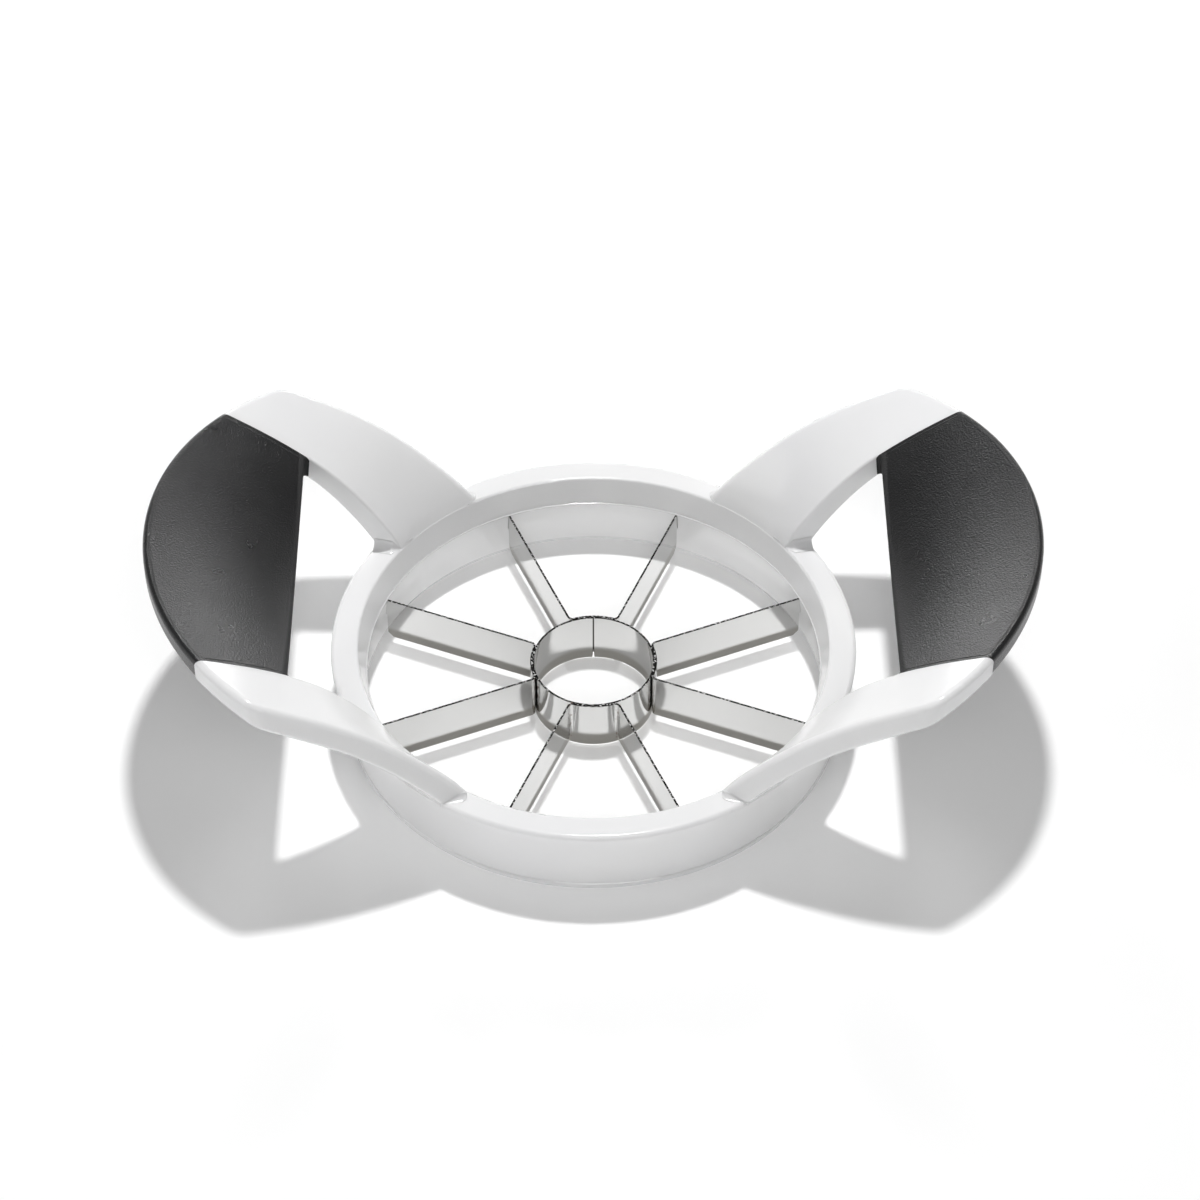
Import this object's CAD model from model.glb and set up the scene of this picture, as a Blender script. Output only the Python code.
import math

import bmesh
import bpy
from mathutils import Euler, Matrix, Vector
from mathutils.bvhtree import BVHTree


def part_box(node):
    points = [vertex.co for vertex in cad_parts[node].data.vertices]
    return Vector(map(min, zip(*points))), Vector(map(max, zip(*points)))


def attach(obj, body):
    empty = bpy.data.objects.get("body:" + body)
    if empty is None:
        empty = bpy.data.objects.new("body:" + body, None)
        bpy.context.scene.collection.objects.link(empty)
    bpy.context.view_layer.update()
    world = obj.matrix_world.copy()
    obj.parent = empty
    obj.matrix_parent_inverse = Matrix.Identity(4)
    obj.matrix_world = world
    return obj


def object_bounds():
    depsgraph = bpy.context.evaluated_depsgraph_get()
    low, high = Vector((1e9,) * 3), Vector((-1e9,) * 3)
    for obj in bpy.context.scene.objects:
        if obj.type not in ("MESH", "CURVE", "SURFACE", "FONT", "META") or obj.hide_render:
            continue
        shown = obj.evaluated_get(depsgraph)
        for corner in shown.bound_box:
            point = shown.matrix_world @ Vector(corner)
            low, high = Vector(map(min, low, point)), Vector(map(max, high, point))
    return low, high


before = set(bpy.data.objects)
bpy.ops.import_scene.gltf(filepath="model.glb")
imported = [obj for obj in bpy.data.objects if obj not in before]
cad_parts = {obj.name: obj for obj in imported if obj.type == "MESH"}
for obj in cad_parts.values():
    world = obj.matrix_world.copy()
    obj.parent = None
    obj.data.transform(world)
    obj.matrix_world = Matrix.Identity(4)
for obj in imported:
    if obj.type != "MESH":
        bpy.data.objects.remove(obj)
cad_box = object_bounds()
scene = bpy.context.scene


# ---------------------------------------------------------------- camera
# A long lens on a tripod, looking down at the slicer from the side of the
# person who would press it.
CAMERA_PLACE = (-0.0013, -0.4735, 0.5050)
CAMERA_PITCH = math.radians(44.83)
CAMERA_YAW = math.radians(-0.311)
LENS = 103.4
SENSOR = 36.0
CLIP_NEAR = 0.01
CLIP_FAR = 20.0

camera_data = bpy.data.cameras.new("camera")
camera_data.lens = LENS
camera_data.sensor_width = SENSOR
camera_data.clip_start = CLIP_NEAR
camera_data.clip_end = CLIP_FAR
camera = bpy.data.objects.new("camera", camera_data)
camera.location = CAMERA_PLACE
camera.rotation_euler = Euler((CAMERA_PITCH, 0.0, CAMERA_YAW))
scene.collection.objects.link(camera)
scene.camera = camera
scene.view_settings.view_transform = "Standard"


# ---------------------------------------------------------------- table
# A sheet of matt white board, so wide that its edges are out of sight. The
# slicer stands loose on the middle of it, on its base ring.
BOARD_HALF = 3.0
BOARD_COLOUR = "#FAFAFA"
# What the board adds to its own colour where it is seen, behind the slicer and before it,
# and the places along Y between which it changes
BOARD_LIFT_BACK = 0.035
BOARD_LIFT_FRONT = 0.15
BOARD_LIFT_FROM = 0.02
BOARD_LIFT_TO = -0.13
BOARD_BOUNCE = 0.22


def linear(code):
    """Scene-linear colour of an sRGB hex code."""
    channels = [int(code[place:place + 2], 16) / 255 for place in (1, 3, 5)]
    curve = [c / 12.92 if c <= 0.04045 else ((c + 0.055) / 1.055) ** 2.4 for c in channels]
    return (*curve, 1.0)


def add(tree, kind, links=None, **settings):
    """Add a node, set its properties and its socket values by name, and link its inputs."""
    node = tree.nodes.new(kind)
    values = settings.pop("values", {})
    for name, value in settings.items():
        setattr(node, name, value)
    named = {socket.name: socket for socket in node.inputs if socket.enabled}
    for name, value in values.items():
        socket = node.inputs[name] if isinstance(name, int) else named[name]
        socket.default_value = value
    for name, source in (links or {}).items():
        socket = node.inputs[name] if isinstance(name, int) else named[name]
        tree.links.new(source, socket)
    return node


def new_material(name):
    """Empty node material, its tree and its output node."""
    material = bpy.data.materials.new(name)
    material.use_nodes = True
    material.node_tree.nodes.clear()
    output = material.node_tree.nodes.new("ShaderNodeOutputMaterial")
    return material, material.node_tree, output


def sight(tree):
    """Light Path node, and a node that is 1 to sight, straight or by a gloss or glass."""
    rays = add(tree, "ShaderNodeLightPath")
    links = {0: rays.outputs["Is Camera Ray"], 1: rays.outputs["Is Glossy Ray"]}
    seen = add(tree, "ShaderNodeMath", links, operation="MAXIMUM")
    links = {0: seen.outputs[0], 1: rays.outputs["Is Transmission Ray"]}
    seen = add(tree, "ShaderNodeMath", links, operation="MAXIMUM")
    return rays, seen


# Matt board: scatters evenly, and shows clean white wherever the lamp reaches it, with
# a little more lift towards its open front. Its bounce stands for light that goes on
# between the board and the pale ring for longer than a render follows it.
board_finish, tree, output = new_material("matt_board")
rays, seen = sight(tree)
place = add(tree, "ShaderNodeTexCoord")
split = add(tree, "ShaderNodeSeparateXYZ", {"Vector": place.outputs["Object"]})
forward = add(
    tree, "ShaderNodeMapRange", {"Value": split.outputs["Y"]},
    interpolation_type="SMOOTHSTEP",
    values={
        "From Min": BOARD_LIFT_FROM, "From Max": BOARD_LIFT_TO,
        "To Min": BOARD_LIFT_BACK, "To Max": BOARD_LIFT_FRONT,
    },
)
lift = add(
    tree, "ShaderNodeMath", {0: seen.outputs[0], 1: forward.outputs["Result"]},
    operation="MULTIPLY",
)
lift = add(
    tree, "ShaderNodeMath", {0: rays.outputs["Is Diffuse Ray"], 2: lift.outputs[0]},
    operation="MULTIPLY_ADD", values={1: BOARD_BOUNCE},
)
matt = add(tree, "ShaderNodeBsdfDiffuse", values={"Color": linear(BOARD_COLOUR)})
glow = add(tree, "ShaderNodeEmission", {"Strength": lift.outputs[0]})
both = add(tree, "ShaderNodeAddShader", {0: matt.outputs[0], 1: glow.outputs[0]})
tree.links.new(both.outputs[0], output.inputs["Surface"])

board_mesh = bpy.data.meshes.new("board")
corners = [(-1, -1), (1, -1), (1, 1), (-1, 1)]
corners = [(BOARD_HALF * x, BOARD_HALF * y, 0) for x, y in corners]
board_mesh.from_pydata(corners, [], [(0, 1, 2, 3)])
board = bpy.data.objects.new("board", board_mesh)
board_mesh.materials.append(board_finish)
scene.collection.objects.link(board)


# ---------------------------------------------------------------- tent and lamps
# A dim white tent stands all round and fills the shadows. One small bright lamp,
# high up behind the slicer, throws them, and four softboxes give the sheens.
WHITE = (1, 1, 1, 1)
TENT_FILL = 0.04
# Heights, as the sine of the angle above the table, between which the tent turns grey
TENT_EDGE = 0.02
TENT_ROOF = 0.18
ROOF_GREY = 0.18

# The tent lights everything dimly; seen directly or in a gloss it is white at the
# table's far edge and grey above, where its roof is open to the dark room.
tent = bpy.data.worlds.new("tent")
tent.use_nodes = True
scene.world = tent
tree = tent.node_tree
tree.nodes.clear()
rays, seen = sight(tree)
sky = add(tree, "ShaderNodeTexCoord")
height = add(tree, "ShaderNodeSeparateXYZ", {"Vector": sky.outputs["Generated"]})
roof = add(
    tree, "ShaderNodeMapRange", {"Value": height.outputs["Z"]},
    interpolation_type="SMOOTHSTEP",
    values={
        "From Min": TENT_EDGE, "From Max": TENT_ROOF, "To Min": 1.0, "To Max": ROOF_GREY,
    },
)
dim = add(tree, "ShaderNodeBackground", values={"Color": WHITE, "Strength": TENT_FILL})
bright = add(
    tree, "ShaderNodeBackground", {"Strength": roof.outputs["Result"]},
    values={"Color": WHITE},
)
mixed = add(
    tree, "ShaderNodeMixShader",
    {0: seen.outputs[0], 1: dim.outputs[0], 2: bright.outputs[0]},
)
output = add(tree, "ShaderNodeOutputWorld", {"Surface": mixed.outputs[0]})

LAMP_PLACE = (0.017, 0.233, 0.800)
LAMP_RADIUS = 0.027
LAMP_POWER = 18.2

lamp_data = bpy.data.lights.new("lamp", "POINT")
lamp_data.energy = LAMP_POWER
lamp_data.shadow_soft_size = LAMP_RADIUS
lamp = bpy.data.objects.new("lamp", lamp_data)
lamp.location = LAMP_PLACE
scene.collection.objects.link(lamp)

# A low pair behind that give the dark grips their sheen, one at the left and one over
# the camera. Each is a place, a width, a height and a power.
SOFTBOXES = {
    "back_left_softbox": ((-0.24, 0.84, 0.42), 0.18, 0.14, 1.35),
    "back_right_softbox": ((0.25, 0.84, 0.42), 0.18, 0.14, 1.15),
    "left_softbox": ((-1.10, -0.45, 0.42), 0.60, 0.50, 2.2),
    "front_softbox": ((0.10, -0.98, 1.03), 0.80, 0.60, 5.6),
}
SOFTBOX_AIM = Vector((0, 0, 0.02))

for name, (place, width, height, power) in SOFTBOXES.items():
    softbox_data = bpy.data.lights.new(name, "AREA")
    softbox_data.shape = "RECTANGLE"
    softbox_data.size = width
    softbox_data.size_y = height
    softbox_data.energy = power
    softbox = bpy.data.objects.new(name, softbox_data)
    softbox.location = place
    softbox.rotation_euler = (SOFTBOX_AIM - Vector(place)).to_track_quat("-Z", "Y").to_euler()
    scene.collection.objects.link(softbox)


# ---------------------------------------------------------------- white body and base ring
# Ring, arms and bars are one injection moulding in glossy ABS; the base ring
# is a second one, snapped in from below to close the skirt.
ABS_IOR = 1.54
ABS_DEPTH = 0.002
ABS_SCATTER = 0.25
# The melt's flow shades the plastic between two whites, in clouds of 30 mm.
FLOW_SIZE = 0.030
FLOW_TINTS = ((0.3, "#EDEDEE"), (0.7, "#F0F0F0"))
FLOW_ROUGHNESS = (0.75, 1.25)
# Shrink marks of 4.5 mm, a few thousandths of a millimetre deep
RIPPLE_SIZE = 0.0045
RIPPLE_HEIGHT = 0.000006
RIPPLE_STRENGTH = 0.3
BODY_ROUGHNESS = 0.16
BODY_GLOSS = 0.28
LINER_ROUGHNESS = 0.06
LINER_GLOSS = 0.5


# Injection-moulded ABS: even white with a soft clear gloss, whose highlights waver
# slightly where the wall has shrunk. The mould's polish sets how sharp they are.
def moulded_abs(name, roughness, gloss):
    material, tree, output = new_material(name)
    place = add(tree, "ShaderNodeTexCoord")
    flow = add(
        tree, "ShaderNodeTexNoise", {"Vector": place.outputs["Object"]},
        values={"Scale": 1 / FLOW_SIZE, "Detail": 2.0},
    )
    tint = add(tree, "ShaderNodeValToRGB", {"Fac": flow.outputs["Fac"]})
    for element, (position, code) in zip(tint.color_ramp.elements, FLOW_TINTS):
        element.position = position
        element.color = linear(code)
    rough = add(
        tree, "ShaderNodeMapRange", {"Value": flow.outputs["Fac"]},
        values={
            "To Min": roughness * FLOW_ROUGHNESS[0], "To Max": roughness * FLOW_ROUGHNESS[1],
        },
    )
    ripple = add(
        tree, "ShaderNodeTexNoise", {"Vector": place.outputs["Object"]},
        values={"Scale": 1 / RIPPLE_SIZE, "Detail": 1.0},
    )
    bump = add(
        tree, "ShaderNodeBump", {"Height": ripple.outputs["Fac"]},
        values={"Strength": RIPPLE_STRENGTH, "Distance": RIPPLE_HEIGHT},
    )
    surface = add(
        tree, "ShaderNodeBsdfPrincipled",
        {
            "Base Color": tint.outputs["Color"],
            "Roughness": rough.outputs["Result"],
            "Normal": bump.outputs["Normal"],
        },
        values={
            "IOR": ABS_IOR, "Specular IOR Level": gloss, "Subsurface Weight": ABS_SCATTER,
            "Subsurface Radius": (1, 1, 1), "Subsurface Scale": ABS_DEPTH,
        },
    )
    tree.links.new(surface.outputs[0], output.inputs["Surface"])
    return material


def dress(node, material):
    """Give a CAD node's object one finish."""
    slots = node.material_slots
    if not slots:
        node.data.materials.append(material)
    for slot in slots:
        slot.material = material


body_abs = moulded_abs("moulded_white_abs", BODY_ROUGHNESS, BODY_GLOSS)
liner_abs = moulded_abs("polished_white_abs", LINER_ROUGHNESS, LINER_GLOSS)
dress(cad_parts["body"], body_abs)
dress(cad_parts["base_ring"], liner_abs)


# ---------------------------------------------------------------- root blends
# Root blends are the small concave rounds of the body's mould where each side of an
# arm stands on the rim. Each is a strip of the same ABS, set a little into both walls.
RIM_HEIGHT = 0.0176
RIM_BLEND_INNER = 0.0466
RIM_BLEND_OUTER = 0.05178
BLEND_SINK = 0.0003
BLEND_FOOT = 0.0011
BLEND_STATIONS = 16
BLEND_STEPS = 8
# Radius, lean of the arm's side, and the share of the length over which the blend fades
GAP_SIDE_BLEND = (0.0020, 0.0, 0.0)
OUTER_SIDE_BLEND = (0.0013, math.radians(15), 0.65)
# Share of the radius at the funnel, of the length over which it grows, and of the
# radius that a fading blend keeps at the outer wall
BLEND_START = 0.12
BLEND_GROWTH = 0.35
BLEND_END = 0.08
# Bearings of an arm's middle and of the clear rim outside it, from the handle's middle
ARM_MIDDLE_ANGLE = 46.0
CLEAR_RIM_ANGLE = 90.0
# Height from which a place on the slicer is looked up, what counts as risen above the
# rim, and how often the search for an arm's foot is halved
ABOVE = 0.1
RISEN = 0.00003
FOOT_HALVINGS = 18

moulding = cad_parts["body"]
moulding_tree = BVHTree.FromObject(moulding, bpy.context.evaluated_depsgraph_get())


def arm_stands_at(radius, angle):
    """Whether an arm rises over the rim at a radius and a bearing."""
    start = Vector((radius * math.cos(angle), radius * math.sin(angle), ABOVE))
    place, _, _, _ = moulding_tree.ray_cast(start, Vector((0, 0, -1)))
    return place is not None and place.z > RIM_HEIGHT + RISEN


def arm_foot(radius, inside, outside):
    """Bearing at which an arm's side meets the rim, between one inside the arm and one clear."""
    for _ in range(FOOT_HALVINGS):
        middle = (inside + outside) / 2
        if arm_stands_at(radius, middle):
            inside = middle
        else:
            outside = middle
    return (inside + outside) / 2


def root_blend(mesh, arm_angle, clear_angle, radius, lean, fade):
    """Add one concave strip along an arm's foot, from the funnel's edge to the outer wall.

    It grows from little at the funnel. With a fade, its outer share shrinks again.
    """
    feet = []
    for station in range(BLEND_STATIONS + 1):
        reach = RIM_BLEND_INNER + (RIM_BLEND_OUTER - RIM_BLEND_INNER) * station / BLEND_STATIONS
        bearing = arm_foot(reach, math.radians(arm_angle), math.radians(clear_angle))
        feet.append(Vector((reach * math.cos(bearing), reach * math.sin(bearing), RIM_HEIGHT)))
    # The strip's direction is taken between its second last and its third foot, clear of
    # the rounded edges at both ends.
    along = (feet[-2] - feet[2]).normalized()
    away = Vector((-along.y, along.x, 0)) * (1 if clear_angle > arm_angle else -1)
    up = Vector((0, 0, 1))
    wall = up * math.cos(lean) - away * math.sin(lean)
    sweep = math.pi / 2 - lean
    rows = []
    for station, foot in enumerate(feet):
        size = radius * min(1.0, BLEND_START + station / (BLEND_GROWTH * BLEND_STATIONS))
        if fade:
            size = min(size, radius * (BLEND_END + (1 - station / BLEND_STATIONS) / fade))
        tangent = size / math.tan((math.pi / 2 + lean) / 2)
        centre = foot + away * tangent + up * size
        row = []
        for step in range(BLEND_STEPS + 1):
            turn = sweep * step / BLEND_STEPS
            row.append(centre - up * size * math.cos(turn) - away * size * math.sin(turn))
        row.append(foot + wall * tangent - away * BLEND_SINK)
        row.append(foot - away * BLEND_SINK - up * BLEND_FOOT)
        row.append(foot + away * tangent - up * BLEND_FOOT)
        rows.append([mesh.verts.new(place) for place in row])
    count = len(rows[0])
    for first, second in zip(rows, rows[1:]):
        for place in range(count):
            following = (place + 1) % count
            face = mesh.faces.new(
                (first[place], second[place], second[following], first[following])
            )
            face.smooth = place < BLEND_STEPS
    mesh.faces.new(rows[0])
    mesh.faces.new(reversed(rows[-1]))


def piece_of(name, built, material):
    """Turn a closed bmesh into an object of its own, in one finish."""
    bmesh.ops.recalc_face_normals(built, faces=built.faces)
    mesh = bpy.data.meshes.new(name)
    built.to_mesh(mesh)
    built.free()
    mesh.materials.append(material)
    piece = bpy.data.objects.new(name, mesh)
    scene.collection.objects.link(piece)
    return piece


blends = bmesh.new()
for quarter in range(4):
    handle = quarter // 2 * 180.0
    side = 1 if quarter % 2 else -1
    arm = handle + side * ARM_MIDDLE_ANGLE
    root_blend(blends, arm, handle, *GAP_SIDE_BLEND)
    root_blend(blends, arm, handle + side * CLEAR_RIM_ANGLE, *OUTER_SIDE_BLEND)
root_blends = piece_of("root_blends", blends, body_abs)
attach(root_blends, "root")


# ---------------------------------------------------------------- joint bead
# Joint bead: the rolled lower edge of the funnel, where the liner's top meets it. It
# is polished ABS like the liner, and catches a thin line of light all round the bore.
BORE_RADIUS = 0.0450
JOINT_HEIGHT = 0.0118
BEAD_RADIUS = 0.00020
BEAD_SINK = 0.00004
BEAD_TURNS = 256
BEAD_SIDES = 8

beads = bmesh.new()
circles = []
for number in range(BEAD_TURNS):
    around = 2 * math.pi * number / BEAD_TURNS
    circle = []
    for side in range(BEAD_SIDES):
        turn = 2 * math.pi * side / BEAD_SIDES
        reach = BORE_RADIUS + BEAD_SINK + BEAD_RADIUS * math.cos(turn)
        height = JOINT_HEIGHT + BEAD_RADIUS * math.sin(turn)
        place = (reach * math.cos(around), reach * math.sin(around), height)
        circle.append(beads.verts.new(place))
    circles.append(circle)
for number, circle in enumerate(circles):
    following = circles[(number + 1) % BEAD_TURNS]
    for side in range(BEAD_SIDES):
        after = (side + 1) % BEAD_SIDES
        face = beads.faces.new((circle[side], following[side], following[after], circle[after]))
        face.smooth = True
joint_bead = piece_of("joint_bead", beads, liner_abs)
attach(joint_bead, "root")


# ---------------------------------------------------------------- coring tube and blade strips
# Bright-rolled stainless strip, 0.4 mm thick: one length rolled to a tube, and
# four folded to a U whose webs are spot-welded to it. All lower edges are ground.
ROLLED_STEEL = "#D4D4D3"
GROUND_STEEL = "#B4B2AD"
STEEL_ROUGHNESS = 0.085
GROUND_ROUGHNESS = 0.14
# Rolling lines of 0.12 mm, a little coarser than real so that they show, drawn out to
# fifty times that along the strips
ROLL_LINE = 0.00012
ROLL_STRETCH = (0.02, 0.02, 1.0)
ROLL_STRENGTH = 0.10
ROLL_DEPTH = 0.00001
# Heights up to which the lower edges are ground, and how the grinding fades out
BLADE_GROUND_TOP = 0.0034
TUBE_GROUND_TOP = 0.0026
GROUND_FADE_ABOVE = 0.0010
GROUND_FADE_BELOW = 0.0004
# Seam where the tube's two ends meet, at its back
CREVICE = "#2B2724"
SEAM_HALF_WIDTH = 0.00022
SEAM_CORE = SEAM_HALF_WIDTH / 3
SEAM_FACES = (0.0116, 0.0123)
# Sheared upper edges. Both the torn metal and its burrs are really 0.05 mm or less, and
# are drawn deeper and coarser than that to show at all.
STRIP_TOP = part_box("core_ring")[1][2]
SHEARED_STEEL = "#4A4846"
SHEARED_DEPTH = 0.00008
BURR_SIZE = 0.0004
BURR_RANGE = (0.54, 0.62)
BURR_ROUGHNESS = 0.32
# Heat tint of the spot welds, in the folds where a blade leaves the tube
HEAT_TINT = "#6E4A33"
TUBE_MIDDLE = 0.0120
WEDGE_HALF_ANGLE = 22.5
TINT_ANGLE = 4.0
TINT_REACH = 0.0134
TINT_FADE = 0.0006
TINT_SIZE = 0.0007
TINT_RANGE = (0.55, 0.75)
# How metallic the strips are to matt surfaces, the share of a lamp's light that they let
# into their own shadows, and the count of reflections under which that holds
METALLIC_TO_MATT = 0.45
SHADOW_GLINT = 0.5
FIRST_REFLECTION = 0.5


# Bright-annealed 18/8 stainless: a near mirror with faint rolling lines along the
# strip; the ground lower edge is duller, and darker for its crosswise grinding marks.
def rolled_steel(name, ground_top):
    material, tree, output = new_material(name)
    place = add(tree, "ShaderNodeTexCoord")
    split = add(tree, "ShaderNodeSeparateXYZ", {"Vector": place.outputs["Object"]})
    stretched = add(
        tree, "ShaderNodeMapping", {"Vector": place.outputs["Object"]},
        values={"Scale": ROLL_STRETCH},
    )
    lines = add(
        tree, "ShaderNodeTexNoise", {"Vector": stretched.outputs["Vector"]},
        values={"Scale": 1 / ROLL_LINE, "Detail": 2.0},
    )
    bump = add(
        tree, "ShaderNodeBump", {"Height": lines.outputs["Fac"]},
        values={"Strength": ROLL_STRENGTH, "Distance": ROLL_DEPTH},
    )
    ground = add(
        tree, "ShaderNodeMapRange", {"Value": split.outputs["Z"]},
        interpolation_type="SMOOTHSTEP",
        values={
            "From Min": ground_top + GROUND_FADE_ABOVE,
            "From Max": ground_top - GROUND_FADE_BELOW,
        },
    )
    colour = add(
        tree, "ShaderNodeMix", {"Factor": ground.outputs["Result"]}, data_type="RGBA",
        values={"A": linear(ROLLED_STEEL), "B": linear(GROUND_STEEL)},
    )

    # The tube's seam: a dark line through its wall
    off_seam = add(tree, "ShaderNodeMath", {0: split.outputs["X"]}, operation="ABSOLUTE")
    near = add(
        tree, "ShaderNodeMapRange", {"Value": off_seam.outputs[0]},
        values={"From Min": SEAM_HALF_WIDTH, "From Max": SEAM_CORE},
    )
    inside = add(
        tree, "ShaderNodeMath", {0: split.outputs["Y"]}, operation="GREATER_THAN",
        values={1: SEAM_FACES[0]},
    )
    outside = add(
        tree, "ShaderNodeMath", {0: split.outputs["Y"]}, operation="LESS_THAN",
        values={1: SEAM_FACES[1]},
    )
    seam = add(
        tree, "ShaderNodeMath", {0: near.outputs["Result"], 1: inside.outputs[0]},
        operation="MULTIPLY",
    )
    seam = add(
        tree, "ShaderNodeMath", {0: seam.outputs[0], 1: outside.outputs[0]},
        operation="MULTIPLY",
    )
    colour = add(
        tree, "ShaderNodeMix", {"Factor": seam.outputs[0], "A": colour.outputs["Result"]},
        data_type="RGBA", values={"B": linear(CREVICE)},
    )

    # Sheared upper edge: torn grey metal with bright burrs
    burrs = add(
        tree, "ShaderNodeTexNoise", {"Vector": place.outputs["Object"]},
        values={"Scale": 1 / BURR_SIZE, "Detail": 1.0},
    )
    bright = add(
        tree, "ShaderNodeMapRange", {"Value": burrs.outputs["Fac"]},
        values={"From Min": BURR_RANGE[0], "From Max": BURR_RANGE[1]},
    )
    torn = add(
        tree, "ShaderNodeMix", {"Factor": bright.outputs["Result"]}, data_type="RGBA",
        values={"A": linear(SHEARED_STEEL), "B": linear(ROLLED_STEEL)},
    )
    edge = add(
        tree, "ShaderNodeMapRange", {"Value": split.outputs["Z"]},
        values={
            "From Min": STRIP_TOP - SHEARED_DEPTH, "From Max": STRIP_TOP - SHEARED_DEPTH / 2,
        },
    )
    colour = add(
        tree, "ShaderNodeMix",
        {
            "Factor": edge.outputs["Result"],
            "A": colour.outputs["Result"],
            "B": torn.outputs["Result"],
        },
        data_type="RGBA",
    )
    burred = add(
        tree, "ShaderNodeMath", {0: edge.outputs["Result"], 1: bright.outputs["Result"]},
        operation="MULTIPLY",
    )

    # Heat tint: patches of straw and brown near a fold, on the outer side of the tube
    around = add(
        tree, "ShaderNodeMath", {0: split.outputs["Y"], 1: split.outputs["X"]},
        operation="ARCTAN2",
    )
    off_middle = add(
        tree, "ShaderNodeMath", {0: around.outputs[0]}, operation="PINGPONG",
        values={1: math.radians(WEDGE_HALF_ANGLE)},
    )
    by_blade = add(
        tree, "ShaderNodeMapRange", {"Value": off_middle.outputs[0]},
        values={
            "From Min": math.radians(WEDGE_HALF_ANGLE - TINT_ANGLE),
            "From Max": math.radians(WEDGE_HALF_ANGLE - TINT_ANGLE / 2),
        },
    )
    flat = add(
        tree, "ShaderNodeVectorMath", {0: place.outputs["Object"]}, operation="MULTIPLY",
        values={1: (1, 1, 0)},
    )
    reach = add(tree, "ShaderNodeVectorMath", {0: flat.outputs["Vector"]}, operation="LENGTH")
    by_tube = add(
        tree, "ShaderNodeMapRange", {"Value": reach.outputs["Value"]},
        values={"From Min": TINT_REACH, "From Max": TINT_REACH - TINT_FADE},
    )
    outer = add(
        tree, "ShaderNodeMath", {0: reach.outputs["Value"]}, operation="GREATER_THAN",
        values={1: TUBE_MIDDLE},
    )
    spots = add(
        tree, "ShaderNodeTexNoise", {"Vector": place.outputs["Object"]},
        values={"Scale": 1 / TINT_SIZE, "Detail": 2.0},
    )
    patchy = add(
        tree, "ShaderNodeMapRange", {"Value": spots.outputs["Fac"]},
        values={"From Min": TINT_RANGE[0], "From Max": TINT_RANGE[1]},
    )
    tinted = by_blade.outputs["Result"]
    for share in (by_tube.outputs["Result"], outer.outputs[0], patchy.outputs["Result"]):
        tinted = add(
            tree, "ShaderNodeMath", {0: tinted, 1: share}, operation="MULTIPLY"
        ).outputs[0]
    colour = add(
        tree, "ShaderNodeMix", {"Factor": tinted, "A": colour.outputs["Result"]},
        data_type="RGBA", values={"B": linear(HEAT_TINT)},
    )

    rough = add(
        tree, "ShaderNodeMapRange", {"Value": ground.outputs["Result"]},
        values={"To Min": STEEL_ROUGHNESS, "To Max": GROUND_ROUGHNESS},
    )
    rough = add(
        tree, "ShaderNodeMix", {"Factor": burred.outputs[0], "A": rough.outputs["Result"]},
        values={"B": BURR_ROUGHNESS},
    )
    # A render doesn't follow a mirror's glints on to matt surfaces, so to those the steel
    # is partly matt.
    rays = add(tree, "ShaderNodeLightPath")
    metal = add(
        tree, "ShaderNodeMapRange", {"Value": rays.outputs["Is Diffuse Ray"]},
        values={"To Min": 1.0, "To Max": METALLIC_TO_MATT},
    )
    surface = add(
        tree, "ShaderNodeBsdfPrincipled",
        {
            "Base Color": colour.outputs["Result"],
            "Metallic": metal.outputs["Result"],
            "Roughness": rough.outputs["Result"],
            "Normal": bump.outputs["Normal"],
        },
    )
    # Nor does it follow the light that the strips throw down into their own shadows, which
    # is why these are pale. Seen in a reflection they stay dark.
    direct = add(
        tree, "ShaderNodeMath", {0: rays.outputs["Glossy Depth"]}, operation="LESS_THAN",
        values={1: FIRST_REFLECTION},
    )
    paler = add(
        tree, "ShaderNodeMath", {0: direct.outputs[0]}, operation="MULTIPLY",
        values={1: SHADOW_GLINT},
    )
    passing = add(tree, "ShaderNodeBsdfTransparent", {"Color": paler.outputs[0]})
    mixed = add(
        tree, "ShaderNodeMixShader",
        {0: rays.outputs["Is Shadow Ray"], 1: surface.outputs[0], 2: passing.outputs[0]},
    )
    tree.links.new(mixed.outputs[0], output.inputs["Surface"])
    return material


dress(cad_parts["core_ring"], rolled_steel("rolled_tube_steel", TUBE_GROUND_TOP))
blade_steel = rolled_steel("rolled_blade_steel", BLADE_GROUND_TOP)
for direction in ("right", "back", "left", "front"):
    dress(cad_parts["blade_" + direction], blade_steel)


# ---------------------------------------------------------------- soft grips
# Dark thermoplastic rubber, moulded over the bars between the arms. The mould
# is spark-eroded, so the skin is matt with a very fine grain.
RUBBER_DARK = "#151516"
RUBBER_LIGHT = "#1D1D1E"
RUBBER_IOR = 1.5
RUBBER_GLOSS = 0.6
RUBBER_ROUGHNESS = (0.24, 0.35)
# Spark erosion leaves a grain of about 0.05 mm, which is drawn coarser so that it shows.
GRAIN = 0.00036
GRAIN_HEIGHT = 0.00010
GRAIN_STRENGTH = 0.9
# Dust and handling leave clouds of about 8 mm.
CLOUD_SIZE = 1 / 120
# Band beside the gap where the rubber rolls over, full up to its core
GAP_EDGE = 0.0573
GAP_BAND = 0.0013
GAP_BAND_CORE = GAP_BAND / 3
BAND_RUBBER = "#121213"
BAND_ROUGHNESS = 0.75

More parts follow.
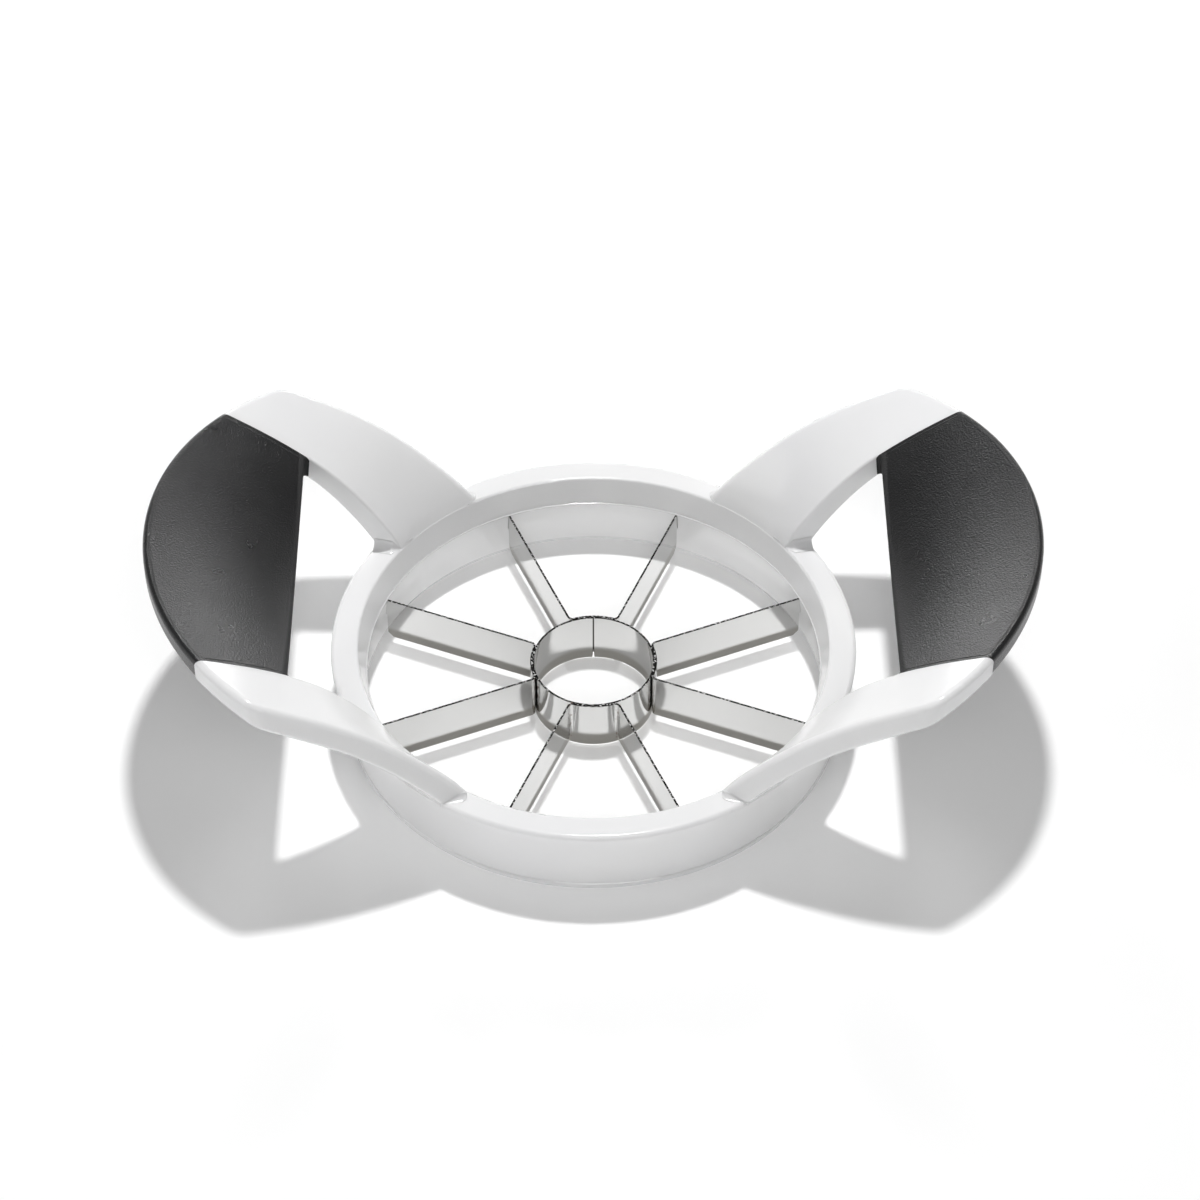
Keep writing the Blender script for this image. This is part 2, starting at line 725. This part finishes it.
# Overmoulded rubber: soft broad sheen, fine grain, slightly dusty high spots.
rubber, tree, output = new_material("overmoulded_rubber")
place = add(tree, "ShaderNodeTexCoord")
grain = add(
    tree, "ShaderNodeTexNoise", {"Vector": place.outputs["Object"]},
    values={"Scale": 1 / GRAIN, "Detail": 2.0},
)
cloud = add(
    tree, "ShaderNodeTexNoise", {"Vector": place.outputs["Object"]},
    values={"Scale": 1 / CLOUD_SIZE, "Detail": 3.0},
)
tint = add(
    tree, "ShaderNodeMix", {"Factor": cloud.outputs["Fac"]}, data_type="RGBA",
    values={"A": linear(RUBBER_DARK), "B": linear(RUBBER_LIGHT)},
)
bump = add(
    tree, "ShaderNodeBump", {"Height": grain.outputs["Fac"]},
    values={"Strength": GRAIN_STRENGTH, "Distance": GRAIN_HEIGHT},
)
rough = add(
    tree, "ShaderNodeMapRange", {"Value": cloud.outputs["Fac"]},
    values={"To Min": RUBBER_ROUGHNESS[0], "To Max": RUBBER_ROUGHNESS[1]},
)
# Duller, darker band where the rubber rolls over into the gap
split = add(tree, "ShaderNodeSeparateXYZ", {"Vector": place.outputs["Object"]})
out = add(tree, "ShaderNodeMath", {0: split.outputs["X"]}, operation="ABSOLUTE")
band = add(
    tree, "ShaderNodeMapRange", {"Value": out.outputs[0]}, interpolation_type="SMOOTHSTEP",
    values={"From Min": GAP_EDGE + GAP_BAND, "From Max": GAP_EDGE + GAP_BAND_CORE},
)
tint = add(
    tree, "ShaderNodeMix", {"Factor": band.outputs["Result"], "A": tint.outputs["Result"]},
    data_type="RGBA", values={"B": linear(BAND_RUBBER)},
)
rough = add(
    tree, "ShaderNodeMix", {"Factor": band.outputs["Result"], "A": rough.outputs["Result"]},
    values={"B": BAND_ROUGHNESS},
)
surface = add(
    tree, "ShaderNodeBsdfPrincipled",
    {
        "Base Color": tint.outputs["Result"],
        "Roughness": rough.outputs["Result"],
        "Normal": bump.outputs["Normal"],
    },
    values={"IOR": RUBBER_IOR, "Specular IOR Level": RUBBER_GLOSS},
)
tree.links.new(surface.outputs[0], output.inputs["Surface"])
for name in ("left_grip", "right_grip"):
    dress(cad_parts[name], rubber)


# ---------------------------------------------------------------- grip lips
# Grip lips: a fine raised line of the same rubber just inside each grip's border, where
# the mould shut off against the arms and the outer edge. The edge at the gap has none.
HANDLE_REACH = 0.0858
HANDLE_ARC_RADIUS = 0.0539
GAP_HALF_WIDTH = 0.0301
GAP_SIDE_SLOPE = math.tan(math.radians(13.6))
LIP_INSET = 0.0009
LIP_RADIUS = 0.00022
LIP_SINK = 0.00015
LIP_SIDES = 8
LIP_CORNER = 0.0012
LIP_CORNER_POINTS = 4
LIP_STATIONS = 24


def group_input(tree, name, kind, value):
    """Add a named input with a default to a geometry tree, and return its identifier."""
    socket = tree.interface.new_socket(name, in_out="INPUT", socket_type=kind)
    if value is not None:
        socket.default_value = value
    return socket.identifier


def grown(name, seed_mesh, tree, inputs):
    """Run a geometry tree on a mesh, with its inputs set by identifier, and return a piece."""
    seed = bpy.data.objects.new(name + "_seed", seed_mesh)
    scene.collection.objects.link(seed)
    modifier = seed.modifiers.new(name, "NODES")
    modifier.node_group = tree
    for identifier, value in inputs.items():
        modifier[identifier] = value
    evaluated = seed.evaluated_get(bpy.context.evaluated_depsgraph_get())
    mesh = bpy.data.meshes.new_from_object(evaluated)
    bpy.data.objects.remove(seed)
    mesh.name = name
    piece = bpy.data.objects.new(name, mesh)
    scene.collection.objects.link(piece)
    return piece


# The border's line, eased at its corners, with a round section swept along it
lips = bpy.data.node_groups.new("grip_lip", "GeometryNodeTree")
group_input(lips, "Border", "NodeSocketGeometry", None)
lip_radius = group_input(lips, "Lip radius", "NodeSocketFloat", LIP_RADIUS)
lip_corner = group_input(lips, "Corner radius", "NodeSocketFloat", LIP_CORNER)
lip_finish = group_input(lips, "Finish", "NodeSocketMaterial", None)
lips.interface.new_socket("Lip", in_out="OUTPUT", socket_type="NodeSocketGeometry")
given = add(lips, "NodeGroupInput")
path = add(lips, "GeometryNodeMeshToCurve", {"Mesh": given.outputs["Border"]})
eased = add(
    lips, "GeometryNodeFilletCurve",
    {"Curve": path.outputs[0], "Radius": given.outputs["Corner radius"]},
    mode="POLY", values={"Count": LIP_CORNER_POINTS, "Limit Radius": True},
)
section = add(
    lips, "GeometryNodeCurvePrimitiveCircle", {"Radius": given.outputs["Lip radius"]},
    values={"Resolution": LIP_SIDES},
)
swept = add(
    lips, "GeometryNodeCurveToMesh",
    {"Curve": eased.outputs[0], "Profile Curve": section.outputs[0]},
)
smooth = add(lips, "GeometryNodeSetShadeSmooth", {"Geometry": swept.outputs[0]})
solid = add(lips, "GeometryNodeRealizeInstances", {"Geometry": smooth.outputs[0]})
finished = add(
    lips, "GeometryNodeSetMaterial",
    {"Geometry": solid.outputs[0], "Material": given.outputs["Finish"]},
)
add(lips, "NodeGroupOutput", {"Lip": finished.outputs[0]})


def lip_border():
    """Plan of the right grip's border, set in: out along one arm, round the arc and back."""
    centre = HANDLE_REACH - HANDLE_ARC_RADIUS
    radius = HANDLE_ARC_RADIUS - LIP_INSET
    side = []
    for station in range(LIP_STATIONS + 1):
        x = GAP_EDGE + LIP_INSET + (HANDLE_REACH - GAP_EDGE - LIP_INSET) * station / LIP_STATIONS
        y = GAP_HALF_WIDTH + (x - GAP_EDGE) * GAP_SIDE_SLOPE - LIP_INSET
        if math.hypot(x - centre, y) < radius:
            side.append((x, y))
    end = math.atan2(side[-1][1], side[-1][0] - centre)
    arc = []
    for station in range(1, 2 * LIP_STATIONS):
        turn = end * (1 - station / LIP_STATIONS)
        arc.append((centre + radius * math.cos(turn), radius * math.sin(turn)))
    return side + arc + [(x, -y) for x, y in reversed(side)]


for name, side in (("left_grip", -1), ("right_grip", 1)):
    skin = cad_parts[name]
    skin_tree = BVHTree.FromObject(skin, bpy.context.evaluated_depsgraph_get())
    border = []
    for x, y in lip_border():
        start = Vector((side * x, y, ABOVE))
        place, normal, _, _ = skin_tree.ray_cast(start, Vector((0, 0, -1)))
        centre = place - normal * LIP_SINK
        centre.z = min(centre.z, cad_box[1][2] - LIP_RADIUS)
        border.append(centre)
    edges = [(number, number + 1) for number in range(len(border) - 1)]
    border_mesh = bpy.data.meshes.new(name + "_border")
    border_mesh.from_pydata(border, edges, [])
    sizes = {lip_radius: LIP_RADIUS, lip_corner: LIP_CORNER, lip_finish: rubber}
    lip = grown(name + "_lip", border_mesh, lips, sizes)
    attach(lip, "root")
